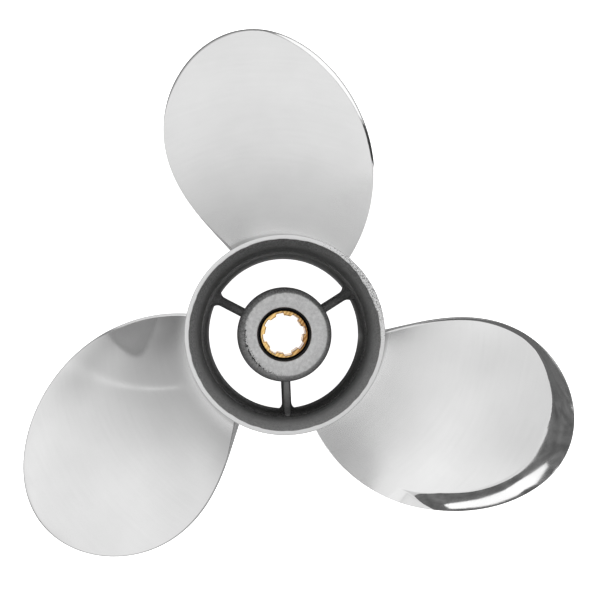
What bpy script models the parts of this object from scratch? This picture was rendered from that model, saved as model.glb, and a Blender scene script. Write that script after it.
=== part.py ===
# Three-blade stainless boat propeller with its exhaust through the hub, standing on the front
# rim of its barrel. +Z is the shaft axis pointing aft, and the origin is on that axis in the
# plane of the front rim.

import math

import bmesh
import bpy
import numpy as np

MM = 0.001

# Whole propeller: 9 1/4 inch across and 9 3/4 inch pitch, right-handed
TIP_RADIUS = 117.5 * MM
PITCH = 248 * MM
RAKE = math.radians(13)
BLADES = 3
BLADE_TURN = 2 * math.pi / BLADES

# Barrel, the outer tube that the blades stand on, and the flared ring at its aft end
BARREL_LENGTH = 92 * MM
BARREL_RADIUS = 34.6 * MM
FRONT_BORE = 31.2 * MM
AFT_BORE = 32.6 * MM
BORE_STEP_Z = 42 * MM
BORE_STEP_DEPTH = 3 * MM
RING_Z = 76 * MM
RING_BORE = 33 * MM
RIM_RADIUS = 37 * MM
RIM_BORE = 35.4 * MM
FRONT_EDGE = 1 * MM
RIM_EDGE = 0.6 * MM

# Inner hub, which holds the rubber drive bushing behind a lip
HUB_RADIUS = 18.2 * MM
HUB_BORE = 14.2 * MM
HUB_FRONT_Z = 8 * MM
HUB_AFT_Z = 62 * MM
HUB_EDGE = 2.2 * MM
LIP_RADIUS = 10.4 * MM
LIP_DEPTH = 3.5 * MM

# Ribs that carry the inner hub inside the barrel
RIB_WIDTH = 3.4 * MM
RIB_DRAFT = 0.5 * MM
RIB_FRONT_Z = 8 * MM
RIB_HUB_TOP = 55 * MM
RIB_WALL_TOP = 43 * MM
RIB_SWEEP = 1.5
RIB_FILLET = 3 * MM
RIB_ANGLE = math.radians(32.5)

# Rubber bushing and the brass sleeve with its splines
SLEEVE_RADIUS = 9.35 * MM
SLEEVE_FRONT_Z = 5 * MM
SLEEVE_AFT_Z = 54 * MM
SPLINE_TEETH = 8
SPLINE_ROOT = 8.35 * MM
SPLINE_TIP = 7.45 * MM
SPLINE_TOOTH_ANGLE = math.radians(19)
SPLINE_FLANK_ANGLE = math.radians(2)
SPLINE_PHASE = math.radians(34)
BUSHING_FRONT_Z = 11 * MM
BUSHING_AFT_Z = 53 * MM

# Blade outline: the mid line sweeps back towards the tip, and the half angle closes there
SKEW_LIMIT = math.radians(96.8)
SKEW_GAIN = math.radians(23)
SKEW_PEAK = 1.05
HALF_ANGLE = math.radians(53)
WIDEST_AT = 0.7
NARROWING = 1.92
ROOT_MID_ANGLE = math.radians(84)
ROOT_MID_Z = 41 * MM

# Blade section: a hollow driving face, a rolled nose and a blunt trailing edge that thins outboard
ROOT_THICKNESS = 6.2 * MM
TIP_THICKNESS = 2.1 * MM
THINNING = 1.2
ROOT_TRAILING_EDGE = 2 * MM
EDGE_THINNING = 2
EDGE_ROUNDING = 16
FACE_HOLLOW = 0.012
NOSE_ROLL = 1.1 * MM
NOSE_ROLL_WIDTH = 10 * MM
NOSE_ROLL_FADE = 4
ROOT_FILLET = 3.5 * MM
TIP_ROUNDING = 0.02
LAST_SECTION = 0.9995

# Touching pieces of the casting keep this seam
GAP = 0.3 * MM

# Fineness of the meshes
BARREL_STEPS = 72
HUB_STEPS = 56
CORNER_POINTS = 5
FLARE_POINTS = 7
BLADE_ROWS = 18
BLADE_COLUMNS = 15
EVEN_ROWS = 0.35
FILLET_ROWS = (0.35, 0.8)
RIB_ROWS = 9
RIB_CROWN_POINTS = 7
SHARP_ANGLE = math.radians(35)
SCREW_MERGE = 0.01 * MM
LOFT_MERGE = 0.002 * MM


def clear_scene():
    for leftover in list(bpy.data.objects):
        bpy.data.objects.remove(leftover, do_unlink=True)


def plain_material(name, colour, roughness, metallic):
    """A Principled material with one colour."""
    made = bpy.data.materials.new(name)
    made.use_nodes = True
    shader = made.node_tree.nodes["Principled BSDF"]
    shader.inputs["Base Color"].default_value = (*colour, 1)
    shader.inputs["Roughness"].default_value = roughness
    shader.inputs["Metallic"].default_value = metallic
    made.diffuse_color = (*colour, 1)
    return made


def add_object(name, mesh, collection, finish, parent=None):
    """Puts a mesh into the scene as one named piece, shaded smooth with its corners sharp."""
    mesh.shade_smooth()
    mesh.set_sharp_from_angle(angle=SHARP_ANGLE)
    if not mesh.materials:
        mesh.materials.append(finish)
    piece = bpy.data.objects.new(name, mesh)
    piece.parent = parent
    collection.objects.link(piece)
    return piece


def arc(radius, height, bend, first, last):
    """Points of a round corner in the (radius, height) plane, from angle first to last in degrees."""
    turn = np.radians(np.linspace(first, last, CORNER_POINTS))
    return [(radius + bend * math.cos(t), height + bend * math.sin(t)) for t in turn]


def turned(name, profile, steps, collection, finish):
    """A ring: a closed profile of (radius, height) points, first down its outer side, with a Screw."""
    mesh = bpy.data.meshes.new(name)
    points = [(radius, 0, height) for radius, height in profile]
    edges = [(i, (i + 1) % len(points)) for i in range(len(points))]
    mesh.from_pydata(points, edges, [])
    piece = add_object(name, mesh, collection, finish)
    screw = piece.modifiers.new("Turn", "SCREW")
    screw.axis = "Z"
    screw.angle = 2 * math.pi
    screw.steps = steps
    screw.render_steps = steps
    screw.use_merge_vertices = True
    screw.merge_threshold = SCREW_MERGE
    screw.use_smooth_shade = True
    return piece


def hub_barrel(collection, finish):
    """The straight outer tube. Its bore steps out where the ribs end."""
    aft = RING_Z - GAP
    inner_edge = FRONT_BORE + FRONT_EDGE / 2
    profile = [(BARREL_RADIUS, aft)]
    profile += arc(BARREL_RADIUS - FRONT_EDGE, FRONT_EDGE, FRONT_EDGE, 0, -90)
    profile += [
        (inner_edge, 0),
        (FRONT_BORE, FRONT_EDGE / 2),
        (FRONT_BORE, BORE_STEP_Z),
        (AFT_BORE, BORE_STEP_Z + BORE_STEP_DEPTH),
        (RING_BORE, aft),
    ]
    return turned("hub_barrel", profile, BARREL_STEPS, collection, finish)


def flare(start, end):
    """A flare between two (radius, height) points: it leaves along the shaft and opens as a parabola."""
    share = np.linspace(0, 1, FLARE_POINTS)
    radius = start[0] + (end[0] - start[0]) * share**2
    height = start[1] + (end[1] - start[1]) * share
    return list(zip(radius.tolist(), height.tolist()))


def diffuser_ring(collection, finish):
    """The flared aft end of the barrel, with a thin ground rim."""
    outer = flare((BARREL_RADIUS, RING_Z), (RIM_RADIUS, BARREL_LENGTH - RIM_EDGE))
    inner = flare((RING_BORE, RING_Z), (RIM_BORE, BARREL_LENGTH - RIM_EDGE / 2))
    profile = [
        (RIM_BORE + RIM_EDGE / 2, BARREL_LENGTH),
        (RIM_RADIUS - RIM_EDGE, BARREL_LENGTH),
        *reversed(outer),
        *inner,
    ]
    return turned("diffuser_ring", profile, BARREL_STEPS, collection, finish)


def inner_hub(collection, finish):
    """The tube that the ribs carry, closed to a lip at its ground aft face."""
    profile = arc(HUB_RADIUS - HUB_EDGE, HUB_AFT_Z - HUB_EDGE, HUB_EDGE, 90, 0)
    profile += [
        (HUB_RADIUS, HUB_FRONT_Z + FRONT_EDGE),
        (HUB_RADIUS - FRONT_EDGE, HUB_FRONT_Z),
        (HUB_BORE, HUB_FRONT_Z),
        (HUB_BORE, HUB_AFT_Z - LIP_DEPTH),
        (LIP_RADIUS, HUB_AFT_Z - LIP_DEPTH),
        (LIP_RADIUS, HUB_AFT_Z),
    ]
    return turned("inner_hub", profile, HUB_STEPS, collection, finish)


def rubber_bushing(collection, finish):
    """The rubber ring between the brass sleeve and the inner hub."""
    outer = HUB_BORE - GAP
    inner = SLEEVE_RADIUS + GAP
    profile = [
        (outer, BUSHING_AFT_Z),
        (outer, BUSHING_FRONT_Z),
        (inner, BUSHING_FRONT_Z),
        (inner, BUSHING_AFT_Z),
    ]
    return turned("rubber_bushing", profile, HUB_STEPS, collection, finish)


def closed_spline(curve, points):
    """Adds one closed straight-sided outline to a 2D curve."""
    spline = curve.splines.new("POLY")
    spline.points.add(len(points) - 1)
    for point, (x, y) in zip(spline.points, points):
        point.co = (x, y, 0, 1)
    spline.use_cyclic_u = True


def spline_outline():
    """The splined hole: at each tooth the wall comes in from the root radius to the tip radius."""
    points = []
    for tooth in range(SPLINE_TEETH):
        middle = SPLINE_PHASE + tooth * 2 * math.pi / SPLINE_TEETH
        half = SPLINE_TOOTH_ANGLE / 2
        corners = [
            (SPLINE_ROOT, -half - SPLINE_FLANK_ANGLE),
            (SPLINE_TIP, -half),
            (SPLINE_TIP, 0),
            (SPLINE_TIP, half),
            (SPLINE_ROOT, half + SPLINE_FLANK_ANGLE),
            (SPLINE_ROOT, math.pi / SPLINE_TEETH),
        ]
        points += [
            (radius * math.cos(middle + turn), radius * math.sin(middle + turn))
            for radius, turn in corners
        ]
    return points


def spline_sleeve(collection, finish):
    """The brass sleeve: a flat ring outline with the splined hole, extruded along the shaft."""
    turns = np.linspace(0, 2 * math.pi, HUB_STEPS, endpoint=False)
    outer = [(SLEEVE_RADIUS * math.cos(t), SLEEVE_RADIUS * math.sin(t)) for t in turns]
    curve = bpy.data.curves.new("spline_sleeve", "CURVE")
    curve.dimensions = "2D"
    curve.fill_mode = "BOTH"
    curve.extrude = (SLEEVE_AFT_Z - SLEEVE_FRONT_Z) / 2
    closed_spline(curve, outer)
    closed_spline(curve, spline_outline())
    curve.materials.append(finish)
    sleeve = bpy.data.objects.new("spline_sleeve", curve)
    sleeve.location.z = (SLEEVE_AFT_Z + SLEEVE_FRONT_Z) / 2
    collection.objects.link(sleeve)
    return sleeve


def concave_flare(distance, bend):
    """How far a fillet of radius bend stands out at this distance from the wall it meets."""
    inside = np.clip(bend - distance, 0, bend)
    return bend - np.sqrt(bend**2 - inside**2)


def loft(name, rings, caps, extra_points=()):
    """A closed skin over equal rings of points. The caps close its ends, and may use extra points,
    which are numbered after those of the rings. Every face is turned outwards."""
    rows, columns, _ = rings.shape
    index = np.arange(rows * columns).reshape(rows, columns)
    ahead = np.roll(index, -1, axis=1)
    sides = np.stack([index[:-1], ahead[:-1], ahead[1:], index[1:]], axis=-1).reshape(-1, 4)
    points = rings.reshape(-1, 3).tolist() + [list(point) for point in extra_points]
    mesh = bpy.data.meshes.new(name)
    mesh.from_pydata(points, [], sides.tolist() + caps)

    work = bmesh.new()
    work.from_mesh(mesh)
    bmesh.ops.remove_doubles(work, verts=work.verts, dist=LOFT_MERGE)
    bmesh.ops.recalc_face_normals(work, faces=work.faces)
    work.to_mesh(mesh)
    work.free()
    return mesh


def row_indices(row, columns):
    """The point numbers of one ring of a loft."""
    return list(range(row * columns, (row + 1) * columns))


def rib_mesh():
    """One rib along +X: upright sections with a rounded aft edge, flared where it meets the barrel.
    Each section lies on a cylinder about the shaft, so both ends fit the round walls."""
    inner = HUB_RADIUS + GAP
    outer = FRONT_BORE - GAP
    share = 1 - np.linspace(1, 0, RIB_ROWS) ** 2
    radius = inner + (outer - inner) * share
    half = RIB_WIDTH / 2 + concave_flare(outer - radius, RIB_FILLET)
    top = RIB_HUB_TOP + (RIB_WALL_TOP - RIB_HUB_TOP) * share**RIB_SWEEP
    bend = np.linspace(0, math.pi, RIB_CROWN_POINTS)
    crown = RIB_WIDTH / 2
    rings = []
    for distance, wide, high in zip(radius, half, top):
        foot = wide + RIB_DRAFT / 2
        across = np.concatenate([[foot], wide * np.cos(bend), [-foot]])
        height = np.concatenate([[RIB_FRONT_Z], high - crown + crown * np.sin(bend), [RIB_FRONT_Z]])
        rings.append(np.stack([np.sqrt(distance**2 - across**2), across, height], -1))
    columns = RIB_CROWN_POINTS + 2
    return loft("rib", np.array(rings), [row_indices(0, columns), row_indices(RIB_ROWS - 1, columns)])


def blade_outline(share):
    """Mid angle and half angle of the blade at this share of the tip radius."""
    mid = SKEW_LIMIT - SKEW_GAIN * (SKEW_PEAK - share) ** 2
    half = HALF_ANGLE * np.sqrt((1 - share) * (1 - NARROWING * (share - WIDEST_AT) ** 2))
    return mid, half


def blade_section(radius):
    """Face and back points of the section at this radius, nose first, unrolled to (arc, height)."""
    share = radius / TIP_RADIUS
    mid, half = blade_outline(share)
    lead = PITCH / (2 * math.pi)
    slope = math.atan2(lead, radius)
    chord = 2 * half * radius / math.cos(slope)
    along = (1 - np.cos(np.linspace(0, math.pi, BLADE_COLUMNS))) / 2

    inboard = (TIP_RADIUS - radius) / (TIP_RADIUS - BARREL_RADIUS)
    middle_thickness = TIP_THICKNESS + (ROOT_THICKNESS - TIP_THICKNESS) * inboard**THINNING
    middle_thickness *= min(1, math.sqrt((1 - share) / TIP_ROUNDING))
    edge = ROOT_TRAILING_EDGE * inboard**EDGE_THINNING
    thickness = middle_thickness * np.sqrt(4 * along * (1 - along))
    thickness += edge * along**3 * np.sqrt(1 - along**EDGE_ROUNDING)

    roll = NOSE_ROLL * np.clip(1 - along * chord / NOSE_ROLL_WIDTH, 0, 1) ** 2
    roll *= min(1, NOSE_ROLL_FADE * (1 - share))
    face = -FACE_HOLLOW * chord * 4 * along * (1 - along) - roll
    back = face - thickness

    across = (along - 0.5) * chord
    arc_mid = radius * mid
    raked = math.tan(RAKE) * (radius - BARREL_RADIUS)
    height_mid = ROOT_MID_Z + lead * (mid - ROOT_MID_ANGLE) + raked

    def placed(normal):
        arc_length = arc_mid + across * math.cos(slope) - normal * math.sin(slope)
        height = height_mid + across * math.sin(slope) + normal * math.cos(slope)
        return np.stack([arc_length, height], -1)

    return placed(face), placed(back)


def pushed_out(outline, distance):
    """A closed outline moved outwards by distance, along the normals at its points."""
    tangent = np.roll(outline, -1, axis=0) - np.roll(outline, 1, axis=0)
    tangent /= np.linalg.norm(tangent, axis=1, keepdims=True)
    normal = np.stack([tangent[:, 1], -tangent[:, 0]], -1)
    x, y = outline.T
    area = np.sum(x * np.roll(y, -1) - np.roll(x, -1) * y)
    return outline + distance * normal * np.sign(area)


def rolled_up(outline, radius):
    """An unrolled (arc, height) outline laid back on the cylinder of this radius."""
    turn = outline[:, 0] / radius
    return np.stack([radius * np.cos(turn), radius * np.sin(turn), outline[:, 1]], -1)


def blade_mesh():
    """Sections from the barrel to the tip, skinned. The root flares into a fillet on the barrel."""
    root = BARREL_RADIUS + GAP
    share = np.linspace(0, 1, BLADE_ROWS)
    closer_at_tip = 1 - (1 - share) ** 2
    spread = EVEN_ROWS * share + (1 - EVEN_ROWS) * closer_at_tip
    radii = root + (TIP_RADIUS * LAST_SECTION - root) * spread
    radii = np.insert(radii, 1, [root + ROOT_FILLET * part for part in FILLET_ROWS])
    rings = []
    for radius in radii:
        face, back = blade_section(radius)
        outline = np.concatenate([face, back[-2:0:-1]])
        outline = pushed_out(outline, concave_flare(radius - root, ROOT_FILLET))
        rings.append(rolled_up(outline, radius))
    rings = np.array(rings)
    rows, columns, _ = rings.shape

    # The root cap follows the barrel: two strips that meet on a middle line of extra points
    face_row = list(range(BLADE_COLUMNS))
    back_row = [0] + list(range(columns - 1, BLADE_COLUMNS - 1, -1)) + [BLADE_COLUMNS - 1]
    middle = (rings[0][face_row] + rings[0][back_row])[1:-1] / 2
    middle[:, :2] *= (root / np.linalg.norm(middle[:, :2], axis=1))[:, None]
    middle_row = [face_row[0]] + [rows * columns + i for i in range(len(middle))] + [face_row[-1]]
    caps = [row_indices(rows - 1, columns)]
    for i in range(BLADE_COLUMNS - 1):
        for one, other in ((middle_row, face_row), (back_row, middle_row)):
            corners = [one[i], one[i + 1], other[i + 1], other[i]]
            caps.append(list(dict.fromkeys(corners)))
    return loft("blade", rings, caps, middle)


def main():
    clear_scene()
    propeller = bpy.data.collections.new("boat_propeller")
    bpy.context.scene.collection.children.link(propeller)
    shaft = bpy.data.objects.new("shaft_axis", None)
    propeller.objects.link(shaft)

    polished = plain_material("polished_stainless", (0.78, 0.78, 0.79), 0.14, 1)
    cast = plain_material("cast_stainless", (0.09, 0.09, 0.095), 0.55, 0.7)
    rubber = plain_material("black_rubber", (0.02, 0.02, 0.022), 0.7, 0)
    brass = plain_material("machined_brass", (0.78, 0.5, 0.19), 0.3, 1)

    hub_barrel(propeller, polished)
    diffuser_ring(propeller, polished)
    inner_hub(propeller, cast)
    rubber_bushing(propeller, rubber)
    spline_sleeve(propeller, brass)

    rib = rib_mesh()
    blade = blade_mesh()
    for number in range(BLADES):
        rib_piece = add_object(f"rib_{number + 1}", rib, propeller, cast, shaft)
        rib_piece.rotation_euler.z = RIB_ANGLE + number * BLADE_TURN
        blade_piece = add_object(f"blade_{number + 1}", blade, propeller, polished, shaft)
        blade_piece.rotation_euler.z = number * BLADE_TURN


main()
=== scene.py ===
# Looks of a polished stainless boat propeller, seen from behind along its shaft.
# The frame has +Z along the shaft, pointing aft, and its origin in the plane of the front rim.
import math

import bmesh
import bpy
import numpy as np
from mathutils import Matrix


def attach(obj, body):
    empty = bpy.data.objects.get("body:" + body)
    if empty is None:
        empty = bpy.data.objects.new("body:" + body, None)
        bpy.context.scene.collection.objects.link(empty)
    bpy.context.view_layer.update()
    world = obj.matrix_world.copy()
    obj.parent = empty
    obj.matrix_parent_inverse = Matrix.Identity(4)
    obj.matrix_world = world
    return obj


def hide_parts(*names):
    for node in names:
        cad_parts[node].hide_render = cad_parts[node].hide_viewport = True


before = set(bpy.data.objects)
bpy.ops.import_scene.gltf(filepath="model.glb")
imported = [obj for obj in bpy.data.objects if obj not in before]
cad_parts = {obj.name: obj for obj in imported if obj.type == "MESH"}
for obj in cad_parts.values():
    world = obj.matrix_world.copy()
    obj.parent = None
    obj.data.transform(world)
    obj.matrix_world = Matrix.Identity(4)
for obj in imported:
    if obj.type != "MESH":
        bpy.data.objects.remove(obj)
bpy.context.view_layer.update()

mm = 0.001


# Small tools for meshes, colours and nodes

def linearColour(hexCode):
    # sRGB hex to linear: a straight part near black, then a power of 2.4
    parts = [int(hexCode[i:i + 2], 16) / 255 for i in (1, 3, 5)]
    return [p / 12.92 if p <= 0.04045 else ((p + 0.055) / 1.055) ** 2.4 for p in parts] + [1]


def addNode(tree, kind, given=None):
    # given holds the node's own fields and, for its inputs, values, or the sockets or nodes that feed
    # them; of a node it is the first output in use
    node = tree.nodes.new("ShaderNode" + kind)
    for name, value in (given or {}).items():
        if isinstance(value, bpy.types.Node):
            value = next(output for output in value.outputs if output.enabled)
        if isinstance(value, bpy.types.NodeSocket):
            tree.links.new(value, node.inputs[name])
        elif isinstance(name, str) and hasattr(node, name):
            setattr(node, name, value)
        else:
            node.inputs[name].default_value = value
    return node


def newMaterial(name):
    material = bpy.data.materials.new(name)
    material.use_nodes = True
    material.node_tree.nodes.clear()
    return material, material.node_tree


def finishMaterial(tree, given):
    shader = addNode(tree, "BsdfPrincipled", given)
    addNode(tree, "OutputMaterial", {"Surface": shader})


def solidFromGrid(name, grid, material, node, closedRows=False, sharpAngle=40, values=None, uv=None,
                  foldedCaps=False):
    # rows run along the shape and columns go round it; the ends are capped unless the rows close too,
    # and a folded cap joins each column to its partner on the other side, so it follows the surface
    rows, columns = grid.shape[:2]
    index = np.arange(rows * columns).reshape(rows, columns)
    ends = [] if closedRows else [index[0], index[-1]]
    if closedRows:
        index = np.vstack([index, index[:1]])
    ahead = np.roll(index, -1, axis=1)
    quads = np.stack([index[:-1], ahead[:-1], ahead[1:], index[1:]], axis=-1).reshape(-1, 4)
    caps = [row.tolist() for row in ends]
    if foldedCaps:
        half = columns // 2
        side = np.arange(1, half - 1)
        strip = np.stack([side, side + 1, columns - side - 1, columns - side], axis=-1)
        tips = np.array([[[0, 1, -1]], [[half, half + 1, half - 1]]])
        caps = [face for places in (strip, *tips) for row in ends for face in row[places].tolist()]
    mesh = bpy.data.meshes.new(name)
    mesh.from_pydata(grid.reshape(-1, 3).tolist(), [], quads.tolist() + caps)
    for label, value in (values or {}).items():
        mesh.attributes.new(label, "FLOAT", "POINT").data.foreach_set("value", value.ravel())
    if uv is not None:
        corners = np.empty(len(mesh.loops), dtype=np.int32)
        mesh.loops.foreach_get("vertex_index", corners)
        mesh.uv_layers.new(name="surface").data.foreach_set("uv", uv.reshape(-1, 2)[corners].ravel())
    work = bmesh.new()
    work.from_mesh(mesh)
    bmesh.ops.recalc_face_normals(work, faces=work.faces)
    work.to_mesh(mesh)
    work.free()
    mesh.shade_smooth()
    mesh.set_sharp_from_angle(angle=math.radians(sharpAngle))
    mesh.materials.append(material)
    piece = bpy.data.objects.new(name, mesh)
    bpy.context.scene.collection.objects.link(piece)
    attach(piece, "root")
    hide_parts(*node)
    return piece


def turnedGrid(profile, steps):
    # each profile point (radius, z) goes round the shaft; rows follow the profile, columns the turn
    turn = np.linspace(0, 2 * math.pi, steps, endpoint=False)
    radius, height = np.array(profile).T[:, :, None]
    return np.stack([radius * np.cos(turn), radius * np.sin(turn), height + 0 * turn], axis=-1)


def turnedBy(grid, degrees):
    # turned about the shaft: x and y mix by the angle's cosine and sine
    cosine, sine = math.cos(math.radians(degrees)), math.sin(math.radians(degrees))
    x, y, z = np.moveaxis(grid, -1, 0)
    return np.stack([cosine * x - sine * y, sine * x + cosine * y, z], axis=-1)


def corner(radius, height, bend, first, last, points=7):
    # a round corner: points on a circle of radius bend, from one angle to another in degrees
    turn = np.radians(np.linspace(first, last, points))
    return list(zip(radius + bend * np.cos(turn), height + bend * np.sin(turn)))


def flare(start, end, points=24):
    # the radius opens as the square of the share of the height
    share = np.linspace(0, 1, points)
    radius = start[0] + (end[0] - start[0]) * share**2
    height = start[1] + (end[1] - start[1]) * share
    return list(zip(radius, height))


def concaveFlare(distance, bend):
    # how far a fillet of radius bend stands out at this distance from the wall it meets
    inside = np.clip(bend - distance, 0, bend)
    return bend - np.sqrt(bend**2 - inside**2)


def smoothStep(low, high, value):
    # three squares less two cubes of the share of the way from low to high
    share = np.clip((value - low) / (high - low), 0, 1)
    return share * share * (3 - 2 * share)


# Polished stainless steel: cast, ground and buffed by hand, so it mirrors the room with a faint
# streaky haze; the very edges are only ground, and the casting skin stays where the wheel can't reach.
# The dark colour of the blades' edge line is painted reflection, and the corner by the barrel is painted
# shade
polish = {
    "light": "#DEDEDE",
    "dark": "#D8D8D8",
    "roughness": (0.05, 0.13),
    "rootRoughness": 0.27,        # the wheel reaches the root badly, so it is hazier there
    # the satin colour and dullness, also used for the painted shade in the corner by the barrel
    "satin": ("#7B7B7B", 0.38),
    # the edge line: dull as ground, and on the blades' edges its dark colour is painted reflection of the
    # grey a steep edge mirrors
    "edge": ("#727272", 0.4),
    "rim": ("#DCDCDC", "#6C6C6C", 0.55),
    "castSkin": ("#525252", "#B4B4B4", 0.6),
    # each noise: the size of its marks, its detail and its roughness
    "haze": (26 * mm, 4, 0.5),
    "specks": (0.5 * mm, 4, 0.7),
    "grain": (0.6 * mm, 3, 0.5),
    "strokeWidth": 1.6 * mm,      # real marks are finer than a pixel, so they are drawn this coarse
    "strokeLength": 22 * mm,
    "strokeStrength": 0.4,
    "toneSpan": (0.5, 0.9),       # the part of the noise over which the tone goes from light to dark
    "roughSpan": (0.35, 0.7),
    "grainDepth": 0.004 * mm,
    "castDepth": 0.08 * mm,
    # the ground rim's specks: the side they lie on, where they set in and lie thickest on it, the noise
    # a speck needs at those two places, and how softly it ends
    "rimZ": 91.55 * mm,
    "speckSide": (0.84, 0.55, 0),
    "speckSpan": (24 * mm, 35 * mm),
    "speckNeeds": (0.68, 0.5),
    "speckSoftness": 0.06,
    # the casting skin: how ragged its border is, where it sets in, and how its tone changes inwards
    "raggedness": 0.5,
    "castSpan": (0.42, 0.58),
    "castInwards": (1.6, -1.1),
}


def makePolishedStainless():
    material, tree = newMaterial("polished_stainless")
    p = polish
    place = addNode(tree, "TexCoord")
    haze, specks, grain = (
        addNode(tree, "TexNoise", {
            "Scale": 1 / size, "Detail": detail, "Roughness": rough, "Vector": place.outputs["Object"]})
        for size, detail, rough in (p["haze"], p["specks"], p["grain"]))
    nearRoot, satin, edge, skin = (
        addNode(tree, "Attribute", {"attribute_name": name}).outputs["Fac"]
        for name in ("nearRoot", "satin", "edge", "asCast"))

    # buffed steel, with the wheel's strokes along the surface
    along = addNode(tree, "Mapping", {
        "Scale": (1 / p["strokeLength"], 1 / p["strokeWidth"], 1), "Vector": place.outputs["UV"]})
    strokes = addNode(tree, "TexNoise", {"Scale": 1, "Detail": 4, "Roughness": 0.65, "Vector": along})
    streaky = addNode(tree, "Math", {
        "operation": "MULTIPLY_ADD", 0: strokes, 1: p["strokeStrength"], 2: haze})
    toned = addNode(tree, "MapRange", {
        "From Min": p["toneSpan"][0], "From Max": p["toneSpan"][1], "Value": streaky})
    rough = addNode(tree, "MapRange", {
        "From Min": p["roughSpan"][0], "From Max": p["roughSpan"][1], "To Min": p["roughness"][0],
        "To Max": p["roughness"][1], "Value": haze})

    # the aft rim is ground flat and left speckled by casting pores
    parts = addNode(tree, "SeparateXYZ", {"Vector": place.outputs["Object"]})
    onRim = addNode(tree, "Math", {"operation": "GREATER_THAN", 0: parts.outputs["Z"], 1: p["rimZ"]})
    side = addNode(tree, "VectorMath", {
        "operation": "DOT_PRODUCT", 0: place.outputs["Object"], 1: p["speckSide"]})
    needed = addNode(tree, "MapRange", {
        "From Min": p["speckSpan"][0], "From Max": p["speckSpan"][1], "To Min": p["speckNeeds"][0],
        "To Max": p["speckNeeds"][1], "Value": side})
    above = addNode(tree, "Math", {"operation": "SUBTRACT", 0: specks, 1: needed})
    speckled = addNode(tree, "MapRange", {"From Max": p["speckSoftness"], "Value": above})

    # casting skin, with a ragged border
    ragged = addNode(tree, "Math", {
        "operation": "MULTIPLY_ADD", 0: specks, 1: p["raggedness"], 2: -p["raggedness"] / 2})
    both = addNode(tree, "Math", {"operation": "ADD", 0: skin, 1: ragged})
    onSkin = addNode(tree, "MapRange", {
        "From Min": p["castSpan"][0], "From Max": p["castSpan"][1], "Value": both})
    inwards = addNode(tree, "Math", {
        "operation": "MULTIPLY_ADD", 0: both, 1: p["castInwards"][0], 2: p["castInwards"][1]})
    blotches = addNode(tree, "Math", {"operation": "ADD", 0: inwards, 1: specks})

    buffed, rimTone, castTone = (
        addNode(tree, "Mix", {
            "data_type": "RGBA", 0: share, 6: linearColour(first), 7: linearColour(second)})
        for share, first, second in ((toned, p["light"], p["dark"]), (speckled, *p["rim"][:2]),
                                     (blotches, *p["castSkin"][:2])))

    # each layer covers those before it as far as its mask says
    colour = buffed
    roughness = addNode(tree, "Mix", {"data_type": "FLOAT", 0: nearRoot, 2: rough, 3: p["rootRoughness"]})
    # the satin layer also carries the painted shade in the corner by the barrel, and the edge layer's dark
    # colour is painted reflection on the blades' edges
    for mask, tone, dullness in ((satin, linearColour(p["satin"][0]), p["satin"][1]),
                                 (onRim, rimTone, p["rim"][2]),
                                 (edge, linearColour(p["edge"][0]), p["edge"][1]),
                                 (onSkin, castTone, p["castSkin"][2])):
        colour = addNode(tree, "Mix", {"data_type": "RGBA", 0: mask, 6: colour, 7: tone})
        roughness = addNode(tree, "Mix", {"data_type": "FLOAT", 0: mask, 2: roughness, 3: dullness})
    depth = addNode(tree, "MapRange", {
        "To Min": p["grainDepth"], "To Max": p["castDepth"], "Value": onSkin})
    bump = addNode(tree, "Bump", {"Strength": 1, "Height": grain, "Distance": depth})
    finishMaterial(tree, {"Metallic": 1, "Base Color": colour, "Roughness": roughness, "Normal": bump})
    return material


# Stainless steel as cast and grit-blasted: dull dark grey with a fine sandy grain; the hub's aft
# face is ground, so it is bright and faintly mottled, with black pores along its lower left
casting = {
    "dark": "#525252",
    "light": "#BDBDBD",
    "groundLight": "#DADADA",
    "groundDark": "#BEBEBE",
    "pore": "#262627",
    # as cast, and where it is ground
    "metallic": (0.25, 0.7),
    "roughness": (0.62, 0.5),
    "grainDepth": (0.09 * mm, 0.0225 * mm),
    "specular": 0.1,
    # each noise: the size of its marks, its detail and its roughness; blasting grit leaves finer pits
    # than the grain, which is drawn coarser so that it shows
    "patches": (7 * mm, 6, 0.75),
    "grain": (0.7 * mm, 3, 0.5),
    "mottle": (1.2 * mm, 5, 0.7),
    "border": (0.7 * mm, 3, 0.7),
    "pores": (0.42 * mm, 3, 0.7),
    "patchStrength": 0.3,
    "grainStrength": 0.9,
    "mottleSpan": (0.32, 0.68),
    # painted light and shade on the walls: the middle tone, how much lighter the walls get towards the
    # side where the light falls, and that side
    "frontTone": (0.42, 0.34, (-0.42, 0.91, 0)),
    "aftTone": (0.35, 0.22, (0.1, -0.995, 0)),
    "shadeLeanZ": (46.5 * mm, 60 * mm),
    # the ground face: where it starts along the shaft, its centre across, how ragged it ends, and where
    "groundZ": 61.33 * mm,
    "groundCentre": 0.6 * mm,
    "groundRagged": 1.4 * mm,
    "groundSpan": (16.4 * mm, 16.9 * mm),
    # its pores: the side they lie on, where they set in and lie thickest on it, the noise a pore needs
    # at those two places, the ring they lie in, what being in it adds, and how softly a pore ends
    "poreSide": (-0.86, -0.51, 0),
    "poreSpan": (3 * mm, 15.5 * mm),
    "poreNeeds": (0.8, 0.43),
    "poreRing": (14.3 * mm, 15.6 * mm),
    "poreGains": (-0.2, 0.03),
    "poreSoftness": 0.04,
}


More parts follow.
